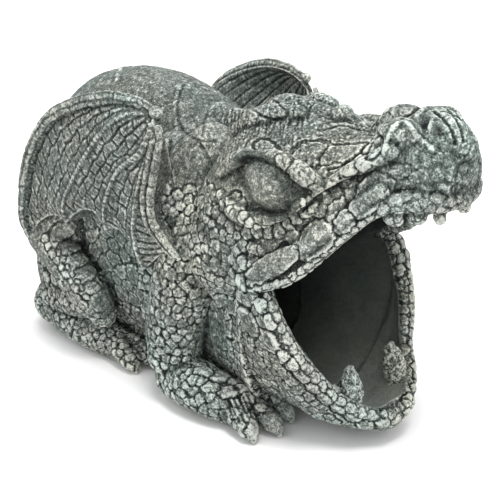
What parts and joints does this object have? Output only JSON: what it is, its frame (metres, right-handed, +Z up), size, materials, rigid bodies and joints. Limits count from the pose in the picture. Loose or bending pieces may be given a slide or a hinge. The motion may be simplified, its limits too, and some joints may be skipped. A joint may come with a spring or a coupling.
{
  "type": "dragon downspout gargoyle",
  "caption": "Crouching stone dragon with folded wings that sits at the foot of a downspout and lets the rainwater run out of its wide open mouth.",
  "frame": {"origin": "on the ground under the middle of the figure's bounding box", "axes": "+Z up, -Y towards the nose, +X towards the dragon's left side"},
  "size_m": [0.2255, 0.4492, 0.2783],
  "materials": {
    "weathered_stone": "cast faux stone, dark grey green in the hollows and dry-brushed pale grey on the raised scales, matt"
  },
  "bodies": {
    "root": {"dragon_gargoyle": "weathered_stone"}
  },
  "joints": []
}
